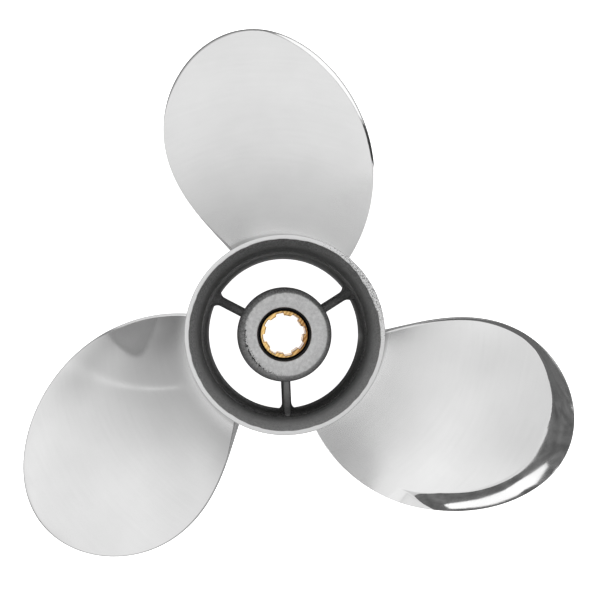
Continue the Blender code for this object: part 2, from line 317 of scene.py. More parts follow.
def makeCastStainless():
    material, tree = newMaterial("cast_stainless")
    c = casting
    place = addNode(tree, "TexCoord")
    patches, grain, mottle, border, pores = (
        addNode(tree, "TexNoise", {
            "Scale": 1 / size, "Detail": detail, "Roughness": rough, "Vector": place.outputs["Object"]})
        for size, detail, rough in (c[name] for name in ("patches", "grain", "mottle", "border", "pores")))
    parts = addNode(tree, "SeparateXYZ", {"Vector": place.outputs["Object"]})

    # painted light and shade: the tone leans lighter to one side aft of the step in the bore, and to
    # another in front of it; the two noises average a half, so half their strength comes off the middle
    # tone
    growing = addNode(tree, "MapRange", {
        "From Min": c["shadeLeanZ"][0], "From Max": c["shadeLeanZ"][1], "Value": parts.outputs["Z"]})
    leans = []
    for (middle, growth, towards), strength in ((c["frontTone"], 1), (c["aftTone"], growing)):
        rise = [part * growth / barrel["aftBore"] for part in towards]
        side = addNode(tree, "VectorMath", {
            "operation": "DOT_PRODUCT", 0: place.outputs["Object"], 1: rise})
        base = middle - (c["patchStrength"] + c["grainStrength"]) / 2
        leans.append(addNode(tree, "Math", {"operation": "MULTIPLY_ADD", 0: side, 1: strength, 2: base}))
    aftOfStep = addNode(tree, "Math", {
        "operation": "GREATER_THAN", 0: parts.outputs["Z"], 1: c["shadeLeanZ"][0]})
    tone = addNode(tree, "Mix", {"data_type": "FLOAT", 0: aftOfStep, 2: leans[0], 3: leans[1]})
    # painted highlight: the ribs' crowns are made lighter where they face up to the light
    crownHighlight = addNode(tree, "Attribute", {"attribute_name": "crownHighlight"})
    for field, strength in ((patches, c["patchStrength"]), (grain, c["grainStrength"]),
                            (crownHighlight.outputs["Fac"], 1)):
        tone = addNode(tree, "Math", {"operation": "MULTIPLY_ADD", 0: field, 1: strength, 2: tone})
    mottled = addNode(tree, "MapRange", {
        "From Min": c["mottleSpan"][0], "From Max": c["mottleSpan"][1], "Value": mottle})
    rawTone, groundTone = (
        addNode(tree, "Mix", {
            "data_type": "RGBA", 0: share, 6: linearColour(first), 7: linearColour(second)})
        for share, first, second in ((tone, c["dark"], c["light"]),
                                     (mottled, c["groundDark"], c["groundLight"])))

    # the ground face ends at a slightly ragged circle
    shifted = addNode(tree, "Math", {"operation": "SUBTRACT", 0: parts.outputs["X"], 1: c["groundCentre"]})
    flat = addNode(tree, "CombineXYZ", {"X": shifted, "Y": parts.outputs["Y"]})
    radius = addNode(tree, "VectorMath", {"operation": "LENGTH", 0: flat})
    ragged = addNode(tree, "Math", {
        "operation": "MULTIPLY_ADD", 0: border, 1: c["groundRagged"], 2: radius})
    inside = addNode(tree, "MapRange", {
        "From Min": c["groundSpan"][0], "From Max": c["groundSpan"][1], "To Min": 1, "To Max": 0,
        "Value": ragged})
    aft = addNode(tree, "Math", {"operation": "GREATER_THAN", 0: parts.outputs["Z"], 1: c["groundZ"]})
    ground = addNode(tree, "Math", {"operation": "MULTIPLY", 0: inside, 1: aft})

    # pores lie along the outer part of the ground face, to the left and below
    side = addNode(tree, "VectorMath", {
        "operation": "DOT_PRODUCT", 0: place.outputs["Object"], 1: c["poreSide"]})
    needed, gained = (
        addNode(tree, "MapRange", {
            "From Min": span[0], "From Max": span[1], "To Min": ends[0], "To Max": ends[1],
            "Value": value})
        for value, span, ends in ((side, c["poreSpan"], c["poreNeeds"]),
                                  (radius, c["poreRing"], c["poreGains"])))
    over = addNode(tree, "Math", {"operation": "SUBTRACT", 0: pores, 1: needed})
    raised = addNode(tree, "Math", {"operation": "ADD", 0: over, 1: gained})
    poreMask = addNode(tree, "MapRange", {"From Max": c["poreSoftness"], "Value": raised})
    faceTone = addNode(tree, "Mix", {
        "data_type": "RGBA", 0: poreMask, 6: groundTone, 7: linearColour(c["pore"])})
    colour = addNode(tree, "Mix", {"data_type": "RGBA", 0: ground, 6: rawTone, 7: faceTone})
    metallic, roughness, depth = (
        addNode(tree, "MapRange", {"To Min": raw, "To Max": smooth, "Value": ground})
        for raw, smooth in (c["metallic"], c["roughness"], c["grainDepth"]))
    bump = addNode(tree, "Bump", {"Strength": 0.8, "Height": grain, "Distance": depth})
    finishMaterial(tree, {"Specular IOR Level": c["specular"], "Base Color": colour,
                          "Roughness": roughness, "Metallic": metallic, "Normal": bump})
    return material


# Moulded black rubber: dull, with a fine mould grain
rubberFinish = {
    "dark": "#101011",
    "light": "#222223",
    "roughness": 0.62,
    "grainSize": 0.6 * mm,
    "grainDepth": 0.03 * mm,
}


def makeBlackRubber():
    material, tree = newMaterial("black_rubber")
    r = rubberFinish
    place = addNode(tree, "TexCoord")
    grain = addNode(tree, "TexNoise", {
        "Scale": 1 / r["grainSize"], "Detail": 2, "Vector": place.outputs["Object"]})
    tone = addNode(tree, "Mix", {
        "data_type": "RGBA", 0: grain, 6: linearColour(r["dark"]), 7: linearColour(r["light"])})
    bump = addNode(tree, "Bump", {"Strength": 0.5, "Distance": r["grainDepth"], "Height": grain})
    finishMaterial(tree, {"Roughness": r["roughness"], "Base Color": tone, "Normal": bump})
    return material


# Free-cutting brass, turned and broached: golden, browner where it has tarnished, with the slanting
# marks of the tool that faced it; it is painted lighter on its left and browner on its right, as painted
# light
brassFinish = {
    "bright": "#FCD48C",
    "tarnished": "#9C6C40",
    "roughness": 0.3,
    "markAngle": 38,
    "markSpacing": 1.3 * mm,
    "markDepth": 0.03 * mm,
    "patchSize": 5 * mm,
    # how much the marks and the patches tarnish it, and what its left and its right side add to that as
    # painted light, which makes the left brighter and the right browner
    "markTarnish": 0.48,
    "patchTarnish": 0.7,
    "paintedSideLight": (-0.6, 0.34),
    "halfWidth": 9 * mm,
}


def makeMachinedBrass():
    # a wave's bands lie 0.314 over its scale apart
    material, tree = newMaterial("machined_brass")
    b = brassFinish
    place = addNode(tree, "TexCoord")
    turned = addNode(tree, "Mapping", {
        "Rotation": (0, 0, math.radians(b["markAngle"])), "Vector": place.outputs["Object"]})
    marks = addNode(tree, "TexWave", {
        "bands_direction": "X", "Scale": 0.314 / b["markSpacing"], "Distortion": 2, "Detail": 2,
        "Vector": turned})
    patches = addNode(tree, "TexNoise", {
        "Scale": 1 / b["patchSize"], "Detail": 4, "Vector": place.outputs["Object"]})
    parts = addNode(tree, "SeparateXYZ", {"Vector": place.outputs["Object"]})
    # painted light: the tone starts lighter on the left and browner on the right, as the light falls; the
    # marks and patches add real tarnish
    worn = addNode(tree, "MapRange", {
        "From Min": -b["halfWidth"], "From Max": b["halfWidth"], "To Min": b["paintedSideLight"][0],
        "To Max": b["paintedSideLight"][1], "Value": parts.outputs["X"]})
    for field, strength in ((marks, b["markTarnish"]), (patches, b["patchTarnish"])):
        worn = addNode(tree, "Math", {
            "operation": "MULTIPLY_ADD", 0: field.outputs["Fac"], 1: strength, 2: worn})
    tone = addNode(tree, "Mix", {
        "data_type": "RGBA", 0: worn, 6: linearColour(b["bright"]), 7: linearColour(b["tarnished"])})
    bump = addNode(tree, "Bump", {
        "Strength": 0.6, "Distance": b["markDepth"], "Height": marks.outputs["Fac"]})
    finishMaterial(tree, {"Metallic": 1, "Roughness": b["roughness"], "Base Color": tone, "Normal": bump})
    return material


# Barrel: an outer skin that is polished, with the ground rim, and a liner that stays as cast
barrel = {
    "radius": 34.6 * mm,
    "length": 92 * mm,
    "steps": 576,
    "middle": 33.2 * mm,          # where skin and liner end, inside the wall
    "wallZ": (7.5 * mm, 75 * mm),
    "ringZ": 76 * mm,
    "frontEdge": 1 * mm,
    "frontBore": 31.2 * mm,
    "frontGap": 0.05 * mm,
    "frontChamfer": 0.5 * mm,
    "frontLip": 30.95 * mm,
    "lipZ": (0.5 * mm, 4 * mm),
    "boreZ": 10 * mm,
    "stepZ": 42 * mm,
    "stepDepth": 3 * mm,
    "aftBore": 32.6 * mm,
    "coneBore": 33.08 * mm,
    "coneZ": 53 * mm,
    "ringBore": 33.05 * mm,
    "rimRadius": 37 * mm,
    "rimBore": 35.4 * mm,
    "rimGap": 0.02 * mm,
    "rimMiddle": 36.1 * mm,
    "rimEdge": 0.24 * mm,
    "rimDullness": 0.5,           # its outer corner is only ground
    "skinDepth": 1.2 * mm,        # how far below the rim the skin and the liner end
    "linerDepth": 0.9 * mm,
    # the rim's inner edge: the waves round it with their phases, how far each wavers, and how much wider
    # the rim is where it was ground hardest
    "rimWaves": ((9, 1), (23, 0), (41, 2)),
    "rimWaver": 0.08 * mm,
    "rimSpread": 0.85 * mm,
    "rimSpreadAt": 27,
    "rimSpreadOver": 15,
    # a slot beside the step in the bore, deep at the top and left: its points in mm outwards and aft
    "slotRadius": 32.15 * mm,
    "slotPoints": [(-0.15, -0.2), (0, 0), (0.04, 0.05), (0.25, 0.2), (0.28, 0.6)],
    "slotDepth": 0.6 * mm,
    "slotAt": 105,
    "slotSpan": (0.3, 0.9),
}


def makeBarrelSkin():
    # a profile up the outside, over the rim and down again within the wall, turned round the shaft
    b = barrel
    edge, seat = b["rimEdge"], b["length"] - b["skinDepth"]
    outside = [(b["middle"], 0)]
    outside += corner(b["radius"] - b["frontEdge"], b["frontEdge"], b["frontEdge"], -90, 0)
    outside += [(b["radius"], z) for z in np.linspace(*b["wallZ"], 12)]
    outside += flare((b["radius"], b["ringZ"]), (b["rimRadius"], b["length"] - edge))
    outside += corner(b["rimRadius"] - edge, b["length"] - edge, edge, 0, 90)[1:]
    outside += corner(b["rimBore"] + edge, b["length"] - edge, edge, 90, 180)
    outside += [(b["rimBore"], seat), (b["rimMiddle"], seat)]
    outside += flare((b["middle"], b["ringZ"]), (b["rimMiddle"], seat), 12)[-2::-1]
    grid = turnedGrid(outside, b["steps"])

    # the inner edge wavers by three sines of the turn, and moves inwards by a bell curve on one side
    turn = np.arctan2(grid[..., 1], grid[..., 0])
    waver = b["rimWaver"] * sum(np.sin(count * turn + phase) for count, phase in b["rimWaves"])
    off = (np.degrees(turn) - b["rimSpreadAt"]) / b["rimSpreadOver"]
    inward = np.clip(waver + b["rimSpread"] * np.exp(-off**2), 0, None)
    profileRadius, profileZ = np.array(outside).T
    onEdge = (profileRadius < b["rimBore"] + edge / 2) & (profileZ >= seat)
    grid[..., :2] *= (1 - onEdge[:, None] * inward / b["rimBore"])[..., None]
    uv = np.stack([np.abs(turn) * b["radius"], grid[..., 2]], axis=-1)
    radius = np.hypot(grid[..., 0], grid[..., 1])
    dull = b["rimDullness"] * smoothStep(b["rimRadius"] - edge, b["rimRadius"] - 0.6 * edge, radius)
    return solidFromGrid("barrel_skin", grid, polished,
                         ("hub_barrel", "diffuser_ring"), closedRows=True, values={"edge": dull}, uv=uv)


def makeBarrelLiner():
    # the same inside: up the bore, over its step and the cone, and down again within the wall
    b = barrel
    top, landZ = b["length"] - b["linerDepth"], b["stepZ"] + b["stepDepth"]
    bore = [(b["middle"], b["frontGap"]), (b["frontBore"] + b["frontChamfer"], b["frontGap"])]
    bore += [(b["frontLip"], z) for z in np.linspace(*b["lipZ"], 4)]
    bore += [(b["frontBore"], z) for z in np.linspace(b["boreZ"], b["stepZ"], 20)]
    floorAt = len(bore) + 2
    bore += [(b["slotRadius"] + outwards * mm, landZ + aft * mm) for outwards, aft in b["slotPoints"]]
    bore += [(b["coneBore"], b["coneZ"])]
    bore += flare((b["ringBore"], b["ringZ"]), (b["rimBore"] - b["rimGap"], top))
    bore += [(b["rimMiddle"], top)]
    bore += flare((b["middle"], b["ringZ"]), (b["rimMiddle"], top), 12)[-2::-1]
    grid = turnedGrid(bore, b["steps"])

    # the slot's floor sinks by a smooth step of the cosine of the turn from its deepest place
    turn = np.arctan2(grid[floorAt, :, 1], grid[floorAt, :, 0]) - math.radians(b["slotAt"])
    grid[floorAt:floorAt + 2, :, 2] -= b["slotDepth"] * smoothStep(*b["slotSpan"], np.cos(turn))
    return solidFromGrid("barrel_liner", grid, cast,
                         ("hub_barrel", "diffuser_ring"), closedRows=True)


polished = makePolishedStainless()
cast = makeCastStainless()
rubber = makeBlackRubber()
brass = makeMachinedBrass()
print("stage: materials made")
makeBarrelSkin()
makeBarrelLiner()
print("stage: barrel made")


# Inner hub: a tube with a rounded aft edge and a ground aft face with a lip
innerHub = {
    "radius": 18.2 * mm,
    "bore": 14.2 * mm,
    "frontZ": 8 * mm,
    "frontEdge": 1 * mm,
    "aftZ": 62 * mm,
    "edge": 2.2 * mm,
    "edgeRows": (2 * mm, 4 * mm),   # rows beside the aft edge, on the face and on the tube
    "lip": 10.4 * mm,
    "lipEdge": 0.3 * mm,
    "lipDepth": 3.5 * mm,
    "steps": 224,
}


def makeInnerHub():
    # a closed profile turned round the shaft: the lip, the aft face, the tube, its front and its bore
    h = innerHub
    inner, outer = h["radius"] - h["edge"], h["aftZ"] - h["edge"]
    front, lipZ = h["frontEdge"], h["aftZ"] - h["lipDepth"]
    profile = [(h["lip"], lipZ)]
    profile += corner(h["lip"] + h["lipEdge"], h["aftZ"] - h["lipEdge"], h["lipEdge"], 180, 90, 5)
    profile += [(inner - h["edgeRows"][0], h["aftZ"])]
    profile += corner(inner, outer, h["edge"], 90, 0, 12)
    profile += [(h["radius"], outer - h["edgeRows"][1]), (h["radius"], h["frontZ"] + 2 * front)]
    profile += corner(h["radius"] - front, h["frontZ"] + front, front, 0, -90, 6)
    profile += [(h["bore"], h["frontZ"]), (h["bore"], lipZ)]
    return solidFromGrid("inner_hub_casting", turnedGrid(profile, h["steps"]), cast,
                         ("inner_hub",), closedRows=True)


# Ribs: upright webs with a half-round aft edge, flared where they meet the walls
rib = {
    "width": 2.7 * mm,
    "footWidth": 3.9 * mm,
    "frontZ": 8 * mm,
    "hubTop": 55 * mm,
    "wallTop": 43 * mm,
    "sweep": 1.5,
    "wallFillet": 3 * mm,
    "hubFillet": 1.2 * mm,
    "hubSink": 0.15 * mm,         # how far they run into the hub and into the barrel's wall
    "wallSink": 0.1 * mm,
    "standOut": 0.4 * mm,         # and how far their end stands out of the step in the bore
    "angle": 32.5,
    "rows": 60,
    "stepRows": 5,
    "crownPoints": 15,
    "shoulder": 0.8 * mm,         # how far below the crown the flanks start to spread
    "highlightSpan": (0.2, 0.8),
    "crownHighlight": (0.08, 0.08, 0.6),   # painted highlight: how much each crown is lightened where it faces up to the light
}


def ribGrid():
    # share runs from the hub to the wall; the half width grows by a fillet at each end, and the
    # crown is a half circle whose height falls from the hub to the wall as a power of the share;
    # past the wall it climbs the sloping step in the bore and just stands out of it
    r, b = rib, barrel
    inner, wall, slot = innerHub["radius"] - r["hubSink"], b["frontBore"] + r["wallSink"], b["slotRadius"]
    share = (1 - np.cos(np.linspace(0, math.pi, r["rows"]))) / 2
    distance = inner + (wall - inner) * share
    distance = np.append(distance, np.linspace(wall + r["wallSink"], slot, r["stepRows"]))
    half = r["width"] / 2 + concaveFlare(np.abs(wall - distance), r["wallFillet"])
    half += concaveFlare(distance - inner, r["hubFillet"])
    share = np.clip((distance - inner) / (wall - inner), 0, 1)
    top = r["hubTop"] + (r["wallTop"] - r["hubTop"]) * share ** r["sweep"]
    climb = np.clip((distance - wall) / (slot - wall), 0, 1)
    top += (b["stepZ"] + b["stepDepth"] + r["standOut"] - r["wallTop"]) * climb
    bend = np.linspace(0, math.pi, r["crownPoints"])
    crown = r["width"] / 2
    foot = half + (r["footWidth"] - r["width"]) / 2
    arc = crown * np.cos(bend) + 0 * half[:, None]
    across = np.stack([foot, half, *arc.T, -half, -foot], axis=1)
    front, shoulder = np.full_like(top, r["frontZ"]), top - crown - r["shoulder"]
    arch = (top - crown)[:, None] + crown * np.sin(bend)
    height = np.stack([front, shoulder, *arch.T, shoulder, front], axis=1)
    along = np.sqrt(distance[:, None] ** 2 - across**2)
    # painted highlight: the crown is lighter where it faces up, fading out down its sides
    crownLit = smoothStep(*r["highlightSpan"], np.sin(bend)) + 0 * half[:, None]
    return np.stack([along, across, height], axis=-1), np.pad(crownLit, ((0, 0), (2, 2)))


makeInnerHub()
ribShape, ribHighlight = ribGrid()
for number in range(3):
    solidFromGrid(f"rib_casting_{number + 1}", turnedBy(ribShape, rib["angle"] + 120 * number), cast,
                  (f"rib_{number + 1}",),
                  values={"crownHighlight": ribHighlight * rib["crownHighlight"][number]})
print("stage: inner hub and ribs made")


# Rubber ring and splined brass sleeve
bushing = {
    "inner": 9.4 * mm,
    "outer": 14.15 * mm,
    "frontZ": 11 * mm,
    "aftZ": 53 * mm,
    "edge": 0.8 * mm,
    "steps": 160,
}
sleeve = {
    "radius": 9.35 * mm,
    "frontZ": 5 * mm,
    "aftZ": 54 * mm,
    "chamfer": 0.35 * mm,
    "holeChamfer": 0.21 * mm,
    "rootRadius": 8.35 * mm,
    "tipRadius": 7.45 * mm,
    "teeth": 8,
    "toothAngle": 19,
    "flankAngle": 3,
    "phase": 34,
    "columns": 8 * 60,
}


def makeBushing():
    # a closed profile turned round the shaft, with a round corner on each side of its aft end
    b = bushing
    low, high, edge = b["frontZ"], b["aftZ"], b["edge"]
    profile = [(b["inner"], low), (b["outer"], low)]
    profile += corner(b["outer"] - edge, high - edge, edge, 0, 90)
    profile += corner(b["inner"] + edge, high - edge, edge, 90, 180)
    return solidFromGrid("rubber_ring", turnedGrid(profile, b["steps"]), rubber,
                         ("rubber_bushing",), closedRows=True)


def makeSleeve():
    # the hole's radius is the root radius, less the tooth height where the angle lies in a tooth
    s = sleeve
    turn = np.linspace(0, 2 * math.pi, s["columns"], endpoint=False)
    pitch = 2 * math.pi / s["teeth"]
    offTooth = np.abs((turn - math.radians(s["phase"]) + pitch / 2) % pitch - pitch / 2)
    half, flank = math.radians(s["toothAngle"]) / 2, math.radians(s["flankAngle"])
    inTooth = 1 - smoothStep(half, half + flank, offTooth)
    hole = s["rootRadius"] - (s["rootRadius"] - s["tipRadius"]) * inTooth
    outside = np.full_like(turn, s["radius"])
    low, high, cut, holeCut = s["frontZ"], s["aftZ"], s["chamfer"], s["holeChamfer"]
    rings = [(hole + holeCut, low), (hole, low + holeCut), (hole, high - holeCut),
             (hole + holeCut, high), (outside - cut, high), (outside, high - cut),
             (outside, low + cut), (outside - cut, low)]
    grid = np.array([[r * np.cos(turn), r * np.sin(turn), z + 0 * turn] for r, z in rings])
    return solidFromGrid("brass_sleeve", np.moveaxis(grid, 1, -1), brass,
                         ("spline_sleeve",), closedRows=True, sharpAngle=30)


makeBushing()
makeSleeve()
print("stage: rubber ring and brass sleeve made")


# Blades: helical sections with skew and rake. Each was ground and buffed by hand, so the bevel round
# its face, its trailing edge and the finish of its back differ from blade to blade
blade = {
    "tipRadius": 117.1 * mm,
    "pitch": 248 * mm,
    "rake": 13,
    "skewLimit": 96.8,
    "skewGain": 23,
    "skewPeak": 1.05,
    "halfAngle": 53,
    "widestAt": 0.7,
    "narrowing": 1.92,
    "rootMidAngle": 84,
    "rootMidZ": 41 * mm,
    "rootSink": 0.25 * mm,
    "rootThickness": 6.2 * mm,
    "tipThickness": 2.1 * mm,
    "thinning": 1.2,
    "tipRound": 0.02,             # the share of the tip radius over which the tip thins to nothing
    "hollow": 0.012,
    "rootFillet": 3.5 * mm,
    "bevelFade": 6 * mm,          # how far from the barrel the bevel has come in
    "centreShare": 0.62,
    "rows": 150,
    "rowCrowding": 0.75,
    "lastRow": 0.99995,           # shares of the tip radius and of the fillet between which they lie
    "firstRow": 1.05,
    "filletRows": 14,
    "columns": 400,
    # shares of the tip radius: between which the casting skin narrows, where it ends, and between which
    # the dull line along the edge sets in
    "skinNarrows": (0.33, 0.44),
    "skinEnds": 0.46,
    "lineSetsIn": (0.3, 0.36),
    # the masks of skin and line: their value at the edge, and how much of it each width takes off
    "skinFall": (1.2, 0.7),
    "lineFall": (1.5, 1),
    # how far into the bevel its dullness has set in and the haze round the root has gone
    "dullSetsIn": 0.1,
    "hazeEnds": 0.15,
    # the satin back: how close to the edges it starts; what buffing has taken off it where share and
    # along are both 0.8, how fast that grows with each of them, and the most it takes off
    "backEdge": 0.0005,
    "wornAt": 0.8,
    "worn": (0.094, 0.9, 0.54, 0.25),
    # painted shade: the corner by the barrel gets the satin colour and dullness, a dark soft line standing
    # in for the shade under the rim's overhang
    "cornerShadeLine": (38.9 * mm, 39.9 * mm),
    "cornerShade": 0.5,
}
# trailing edge thickness, how far the casting skin reaches in from it, how satin the back is, the
# shares of the tip radius between which the haze round the root ends, and how dull the bevel is
bladeFinish = {
    "blade_1": {"trailingEdge": 1 * mm, "skin": 0.6 * mm, "satin": 1, "hazy": (0.52, 0.76), "dull": 0},
    "blade_2": {"trailingEdge": 2 * mm, "skin": 2 * mm, "satin": 0.7, "hazy": (0.33, 0.42), "dull": 0.6},
    "blade_3": {"trailingEdge": 1 * mm, "skin": 0.6 * mm, "satin": 0.45, "hazy": (0.5, 0.72), "dull": 0},
}
# round the outline, as an angle about the blade's middle (-180 root, -90 leading edge, 0 tip, 90
# trailing edge): the bevel's width in mm, its tilt where it starts, its tilt at the edge, how far from
# the edge it stops, in mm, and the width of the dull line ground along the edge, whose dark colour is
# painted reflection, in mm
bevels = {
    "blade_1": [(-180, 1, 25, 50, 0, 0.2), (-86, 1, 20, 50, 0, 0.2), (-82, 1.3, 31, 36, 0, 0.1),
                (-68, 1.4, 31, 36, 0, 0.5), (-64, 1.6, 40, 52, 0, 0.55), (-52, 2.2, 40, 54, 0, 0.5),
                (-40, 2.5, 40, 54, 0, 0.4), (-24, 2, 40, 54, 0, 0.4), (-8, 0.8, 40, 54, 0, 0.45),
                (12, 1, 15, 40, 0, 0.75), (45, 0.6, 10, 25, 0, 0.6), (66, 0.3, 0, 2, 0, 0.02),
                (150, 0.3, 0, 2, 0, 0.02), (180, 0.4, 6, 14, 0, 0.3)],
    "blade_2": [(-180, 1.4, 30, 36, 0, 0.15), (-100, 1.3, 30, 36, 0, 0.15), (-86, 0.4, 8, 16, 0, 0.05),
                (-70, 0.3, 0, 2, 0, 0.02), (50, 0.3, 0, 2, 0, 0.02), (90, 0.6, 10, 25, 0, 0.3),
                (180, 0.6, 10, 25, 0, 0.3)],
    "blade_3": [(-180, 0.4, 25, 40, 0, 0.1), (-89, 0.4, 25, 40, 0.4, 0.1), (-87.5, 6.4, 24, 32, 6.4, 0.1),
                (-84, 6.6, 24, 32, 6.6, 0.1), (-79, 6.9, 23.5, 33, 5.95, 0.1),
                (-75, 7.4, 23, 34, 4.4, 0.1), (-64, 9, 22, 36.5, 0, 0.1), (-50, 9, 20, 41, 0, 0.1),
                (-25, 9.5, 18, 40, 0, 0.15), (0, 10.2, 14, 26, 0, 0.2), (12, 10, 12, 24, 0, 0.2),
                (29, 7.5, 12, 24, 0, 0.2), (43, 5.5, 12, 24, 0, 0.2), (50, 4.1, 12, 24, 0, 0.2),
                (58, 2.6, 12, 23, 0, 0.2), (66, 1.9, 12, 22, 0, 0.25), (90, 1.4, 15, 30, 0, 0.3),
                (180, 1.4, 15, 30, 0, 0.4)],
}


def bladeGrid(bevel, finish):
    # a section at each radius: a hollow face line with half an ellipse of thickness behind it, on a
    # helix whose height grows with the angle; (arc, height) is then rolled round the shaft
    b, wall, tip = blade, barrel["radius"], blade["tipRadius"]
    root = wall - b["rootSink"]
    step = np.linspace(0, 1, b["rows"])
    spread = (1 - b["rowCrowding"]) * step + b["rowCrowding"] * (1 - (1 - step) ** 2)
    fillet = b["rootFillet"] * (1 - np.cos(np.linspace(0, math.pi / 2, b["filletRows"])))
    outer = root + (tip * b["lastRow"] - root) * spread
    outer = outer[outer > wall + b["firstRow"] * b["rootFillet"]]
    radius = np.concatenate([[root], wall + fillet, outer])[:, None]
    share = radius / tip

    # along goes from the leading edge (0) to the trailing edge (1) on the face, and back behind it
    turn = np.linspace(0, 2 * math.pi, b["columns"], endpoint=False)[None, :]
    along = (1 - np.cos(turn)) / 2
    behind = turn >= math.pi

    mid = np.radians(b["skewLimit"] - b["skewGain"] * (b["skewPeak"] - share) ** 2)
    breadth = (1 - share) * (1 - b["narrowing"] * (share - b["widestAt"]) ** 2)
    half = math.radians(b["halfAngle"]) * np.sqrt(breadth)
    lead = b["pitch"] / (2 * math.pi)
    slope = np.arctan2(lead, radius)
    chord = 2 * half * radius / np.cos(slope)

    inboard = np.clip((tip - radius) / (tip - wall), 0, 1)
    middle = b["tipThickness"] + (b["rootThickness"] - b["tipThickness"]) * inboard ** b["thinning"]
    middle = middle * np.minimum(1, np.sqrt((1 - share) / b["tipRound"]))
    thickness = middle * np.sqrt(np.clip(4 * along * (1 - along), 0, 1))
    blunt = finish["trailingEdge"] * inboard**2 * along**3
    thickness = thickness + blunt * np.sqrt(np.clip(1 - along**16, 0, 1))

    # distance to the outline: how far half^2 - side^2 is above zero, over its steepness
    side = (along - 0.5) * 2 * half
    steepAcross = 2 * side * np.cos(slope) / radius
    steepOut = np.gradient(half[:, 0] ** 2, radius[:, 0])[:, None] + 0 * side
    fromEdge = (half**2 - side**2) / np.maximum(np.hypot(steepAcross, steepOut), 1e-6)
    fromEdge = np.clip(fromEdge, 0, 1)

    # the bevel's tilt grows evenly from where it starts to the edge, and the drop is its slope summed
    position = np.degrees(np.arctan2(side * share, share - b["centreShare"]))
    around, *columns = np.array(bevel, dtype=float).T
    width, startTilt, endTilt, stop, line = (np.interp(position, around, column) for column in columns)
    reach = np.maximum(fromEdge, stop * mm)
    inBevel = np.clip(1 - reach / (width * mm), 0, 1)
    drop = inBevel * width * mm * np.tan(np.radians(startTilt + (endTilt - startTilt) * inBevel / 2))
    drop = drop * smoothStep(wall, wall + b["bevelFade"], radius)
    face = -b["hollow"] * chord * 4 * along * (1 - along)
    normal = np.where(behind, face - thickness, face)

    across = (along - 0.5) * chord
    raked = math.tan(math.radians(b["rake"])) * (radius - wall)
    heightMid = b["rootMidZ"] + lead * (mid - math.radians(b["rootMidAngle"])) + raked
    arc = radius * mid + across * np.cos(slope) - normal * np.sin(slope)
    height = heightMid + across * np.sin(slope) + normal * np.cos(slope) - drop

    # the root fillet: each section is pushed out along its normals as it nears the barrel
    tangentArc = np.roll(arc, -1, axis=1) - np.roll(arc, 1, axis=1)
    tangentHeight = np.roll(height, -1, axis=1) - np.roll(height, 1, axis=1)
    length = np.maximum(np.hypot(tangentArc, tangentHeight), 1e-9)
    area = np.sum(arc * np.roll(height, -1, axis=1) - np.roll(arc, -1, axis=1) * height, axis=1)
    push = concaveFlare(np.clip(radius - wall, 0, 1), b["rootFillet"]) * np.sign(area)[:, None]
    arc, height = arc + push * tangentHeight / length, height - push * tangentArc / length

    # masks: the casting skin is left on the blunt trailing edge near the root, narrowing outwards; a
    # dull line is ground along the edge, its dark colour painted reflection of the grey a steep edge
    # mirrors; the back, which drags on the wheel less, stays satin and gets brighter evenly towards the
    # tip and the trailing edge
    skinWidth = np.interp(share, b["skinNarrows"], (finish["skin"], 0.1 * finish["skin"] + 0.05 * mm))
    start, fall = b["skinFall"]
    asCast = np.clip(start - fall * fromEdge / skinWidth, 0, 1) * ((along > 0.5) & (share < b["skinEnds"]))
    start, fall = b["lineFall"]
    edge = np.clip(start - fall * fromEdge / (line * mm), 0, 1) * smoothStep(*b["lineSetsIn"], share)
    edge = np.maximum(edge, finish["dull"] * smoothStep(0, b["dullSetsIn"], inBevel))
    onBack = behind & (along > b["backEdge"]) & (along < 1 - b["backEdge"])
    taken, outwards, towardsEdge, most = b["worn"]
    worn = taken + outwards * (share - b["wornAt"]) + towardsEdge * (along - b["wornAt"])
    # painted shade in the corner by the barrel, carried by the satin mask
    cornerShadeMask = b["cornerShade"] * (1 - smoothStep(*b["cornerShadeLine"], radius))
    satin = np.maximum(finish["satin"] * onBack * (1 - np.clip(worn, 0, most)), cornerShadeMask)
    nearRoot = (1 - smoothStep(*finish["hazy"], share)) * (1 - smoothStep(0, b["hazeEnds"], inBevel))
    angle = arc / radius
    grid = np.stack([radius * np.cos(angle), radius * np.sin(angle), height], axis=-1)
    uv = np.stack([across + 0 * radius, radius + 0 * across], axis=-1)
    return grid, {"asCast": asCast, "edge": edge, "satin": satin, "nearRoot": nearRoot}, uv


for number, (node, bevel) in enumerate(bevels.items()):
    grid, values, uv = bladeGrid(bevel, bladeFinish[node])
    solidFromGrid(f"{node}_surface", turnedBy(grid, 120 * number), polished,
                  (node,), sharpAngle=25, values=values, uv=uv, foldedCaps=True)
print("stage: blades made")


